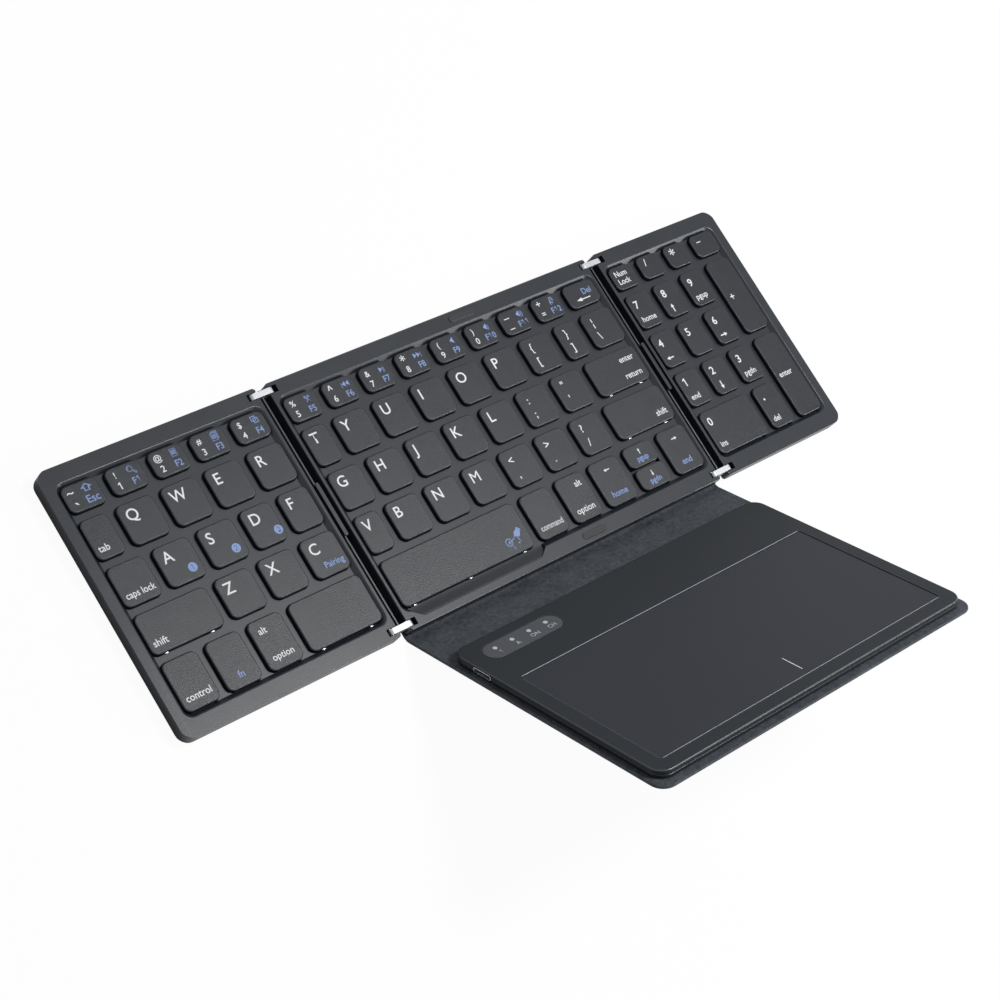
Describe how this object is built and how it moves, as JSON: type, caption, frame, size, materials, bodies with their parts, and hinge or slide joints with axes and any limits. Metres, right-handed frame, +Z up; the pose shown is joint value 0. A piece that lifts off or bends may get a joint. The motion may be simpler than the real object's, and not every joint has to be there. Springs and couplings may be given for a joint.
{
  "type": "folding keyboard",
  "caption": "Three-panel folding keyboard with a keypad wing and a touchpad on a leather cover, lying open with the touchpad raised.",
  "frame": {"origin": "on the underside of the leather cover, below the middle of the centre panel", "axes": "+X along the keyboard towards the keypad, +Y to the back edge, +Z up from the keys"},
  "size_m": [0.323, 0.1944, 0.0835],
  "materials": {
    "case": "fine matte moulding, charcoal grey",
    "base": "fine matte moulding, charcoal grey",
    "caps": "fine-grained matte, dark grey with white and lavender-blue legends",
    "steel": "plain sheet",
    "membrane": "printed film with rubber domes",
    "pins": "bright turned steel",
    "links": "bright polished plate",
    "spine": "dark satin moulding",
    "rubber": "soft dark rubber",
    "leather": "fine-grained charcoal synthetic leather",
    "pad_case": "soft-touch satin, charcoal grey",
    "touch": "smooth satin film",
    "window": "smoked grey window",
    "lights": "clear light guides",
    "socket": "pressed steel shell",
    "board": "green circuit board",
    "battery": "foil pouch"
  },
  "bodies": {
    "centre": {"centre_frame": "case", "centre_base": "base", "centre_plate": "steel", "centre_membrane": "membrane", "centre_pins": "pins", "fold_bumpers": "rubber", "leather_centre": "leather"},
    "left_wing": {"left_frame": "case", "left_base": "base", "left_plate": "steel", "left_membrane": "membrane", "left_pins": "pins", "left_feet": "rubber", "left_screws": "pins"},
    "right_wing": {"right_frame": "case", "right_base": "base", "right_plate": "steel", "right_membrane": "membrane", "right_pins": "pins", "right_feet": "rubber", "right_screws": "pins"},
    "left_hinge": {"left_links": "links", "left_spine": "spine", "left_cable_cover": "spine"},
    "right_hinge": {"right_links": "links", "right_spine": "spine", "right_cable_cover": "spine"},
    "flap": {"leather_flap": "leather"},
    "touchpad": {"leather_pad": "leather", "pad_base": "pad_case", "pad_cover": "pad_case", "touch_plate": "touch", "light_window": "window", "lights": "lights", "charging_socket": "socket", "circuit_board": "board", "battery": "battery"},
    "left_number_keys": {"left_number_keys": "caps"},
    "left_upper_keys": {"left_upper_keys": "caps"},
    "left_home_keys": {"left_home_keys": "caps"},
    "left_lower_keys": {"left_lower_keys": "caps"},
    "left_modifier_keys": {"left_modifier_keys": "caps"},
    "left_space_key": {"left_space_key": "caps"},
    "centre_number_keys": {"centre_number_keys": "caps"},
    "centre_upper_keys": {"centre_upper_keys": "caps"},
    "centre_home_keys": {"centre_home_keys": "caps"},
    "enter_key": {"enter_key": "caps"},
    "centre_lower_keys": {"centre_lower_keys": "caps"},
    "right_shift_key": {"right_shift_key": "caps"},
    "space_bar": {"space_bar": "caps"},
    "centre_bottom_keys": {"centre_bottom_keys": "caps"},
    "up_key": {"up_key": "caps"},
    "down_key": {"down_key": "caps"},
    "keypad_top_keys": {"keypad_top_keys": "caps"},
    "keypad_789_keys": {"keypad_789_keys": "caps"},
    "keypad_456_keys": {"keypad_456_keys": "caps"},
    "keypad_123_keys": {"keypad_123_keys": "caps"},
    "keypad_zero_keys": {"keypad_zero_keys": "caps"},
    "keypad_tall_keys": {"keypad_tall_keys": "caps"}
  },
  "joints": [
    {"name": "left_hinge_lower", "type": "hinge", "parent": "centre", "child": "left_hinge", "pos_m": [-0.07719, 0, 0.0037], "axis": [0, 1, 0], "range_deg": [0, 90]},
    {"name": "left_hinge_upper", "type": "hinge", "parent": "left_hinge", "child": "left_wing", "pos_m": [-0.08449, 0, 0.0037], "axis": [0, 1, 0], "range_deg": [0, 90]},
    {"name": "right_hinge_lower", "type": "hinge", "parent": "centre", "child": "right_hinge", "pos_m": [0.07719, 0, 0.0037], "axis": [0, -1, 0], "range_deg": [0, 90]},
    {"name": "right_hinge_upper", "type": "hinge", "parent": "right_hinge", "child": "right_wing", "pos_m": [0.08449, 0, 0.0037], "axis": [0, -1, 0], "range_deg": [0, 90]},
    {"name": "cover_fold", "type": "hinge", "parent": "centre", "child": "flap", "pos_m": [0, -0.05205, 0.0006], "axis": [-1, 0, 0], "range_deg": [-42, 48]},
    {"name": "touchpad_fold", "type": "hinge", "parent": "flap", "child": "touchpad", "pos_m": [0, -0.0658, 0.01298], "axis": [-1, 0, 0], "range_deg": [0, 90]},
    {"name": "left_number_keys_press", "type": "slide", "parent": "left_wing", "child": "left_number_keys", "axis": [0, 0, -1], "range_m": [0, 0.0012], "stiffness_N_per_m": 600, "springref_m": -0.0006},
    {"name": "left_upper_keys_press", "type": "slide", "parent": "left_wing", "child": "left_upper_keys", "axis": [0, 0, -1], "range_m": [0, 0.0012], "stiffness_N_per_m": 600, "springref_m": -0.0006},
    {"name": "left_home_keys_press", "type": "slide", "parent": "left_wing", "child": "left_home_keys", "axis": [0, 0, -1], "range_m": [0, 0.0012], "stiffness_N_per_m": 600, "springref_m": -0.0006},
    {"name": "left_lower_keys_press", "type": "slide", "parent": "left_wing", "child": "left_lower_keys", "axis": [0, 0, -1], "range_m": [0, 0.0012], "stiffness_N_per_m": 540, "springref_m": -0.0006},
    {"name": "left_modifier_keys_press", "type": "slide", "parent": "left_wing", "child": "left_modifier_keys", "axis": [0, 0, -1], "range_m": [0, 0.0012], "stiffness_N_per_m": 480, "springref_m": -0.0006},
    {"name": "left_space_key_press", "type": "slide", "parent": "left_wing", "child": "left_space_key", "axis": [0, 0, -1], "range_m": [0, 0.0012], "stiffness_N_per_m": 360, "springref_m": -0.0006},
    {"name": "centre_number_keys_press", "type": "slide", "parent": "centre", "child": "centre_number_keys", "axis": [0, 0, -1], "range_m": [0, 0.0012], "stiffness_N_per_m": 840, "springref_m": -0.0006},
    {"name": "centre_upper_keys_press", "type": "slide", "parent": "centre", "child": "centre_upper_keys", "axis": [0, 0, -1], "range_m": [0, 0.0012], "stiffness_N_per_m": 840, "springref_m": -0.0006},
    {"name": "centre_home_keys_press", "type": "slide", "parent": "centre", "child": "centre_home_keys", "axis": [0, 0, -1], "range_m": [0, 0.0012], "stiffness_N_per_m": 720, "springref_m": -0.0006},
    {"name": "enter_key_press", "type": "slide", "parent": "centre", "child": "enter_key", "axis": [0, 0, -1], "range_m": [0, 0.0012], "stiffness_N_per_m": 360, "springref_m": -0.0006},
    {"name": "centre_lower_keys_press", "type": "slide", "parent": "centre", "child": "centre_lower_keys", "axis": [0, 0, -1], "range_m": [0, 0.0012], "stiffness_N_per_m": 720, "springref_m": -0.0006},
    {"name": "right_shift_key_press", "type": "slide", "parent": "centre", "child": "right_shift_key", "axis": [0, 0, -1], "range_m": [0, 0.0012], "stiffness_N_per_m": 360, "springref_m": -0.0006},
    {"name": "space_bar_press", "type": "slide", "parent": "centre", "child": "space_bar", "axis": [0, 0, -1], "range_m": [0, 0.0012], "stiffness_N_per_m": 360, "springref_m": -0.0006},
    {"name": "centre_bottom_keys_press", "type": "slide", "parent": "centre", "child": "centre_bottom_keys", "axis": [0, 0, -1], "range_m": [0, 0.0012], "stiffness_N_per_m": 540, "springref_m": -0.0006},
    {"name": "up_key_press", "type": "slide", "parent": "centre", "child": "up_key", "axis": [0, 0, -1], "range_m": [0, 0.0012], "stiffness_N_per_m": 360, "springref_m": -0.0006},
    {"name": "down_key_press", "type": "slide", "parent": "centre", "child": "down_key", "axis": [0, 0, -1], "range_m": [0, 0.0012], "stiffness_N_per_m": 360, "springref_m": -0.0006},
    {"name": "keypad_top_keys_press", "type": "slide", "parent": "right_wing", "child": "keypad_top_keys", "axis": [0, 0, -1], "range_m": [0, 0.0012], "stiffness_N_per_m": 540, "springref_m": -0.0006},
    {"name": "keypad_789_keys_press", "type": "slide", "parent": "right_wing", "child": "keypad_789_keys", "axis": [0, 0, -1], "range_m": [0, 0.0012], "stiffness_N_per_m": 480, "springref_m": -0.0006},
    {"name": "keypad_456_keys_press", "type": "slide", "parent": "right_wing", "child": "keypad_456_keys", "axis": [0, 0, -1], "range_m": [0, 0.0012], "stiffness_N_per_m": 480, "springref_m": -0.0006},
    {"name": "keypad_123_keys_press", "type": "slide", "parent": "right_wing", "child": "keypad_123_keys", "axis": [0, 0, -1], "range_m": [0, 0.0012], "stiffness_N_per_m": 480, "springref_m": -0.0006},
    {"name": "keypad_zero_keys_press", "type": "slide", "parent": "right_wing", "child": "keypad_zero_keys", "axis": [0, 0, -1], "range_m": [0, 0.0012], "stiffness_N_per_m": 420, "springref_m": -0.0006},
    {"name": "keypad_tall_keys_press", "type": "slide", "parent": "right_wing", "child": "keypad_tall_keys", "axis": [0, 0, -1], "range_m": [0, 0.0012], "stiffness_N_per_m": 420, "springref_m": -0.0006}
  ],
  "couplings": [
    {"joint": "left_hinge_lower", "follows": "left_hinge_upper", "ratio": 1},
    {"joint": "right_hinge_lower", "follows": "right_hinge_upper", "ratio": 1}
  ]
}
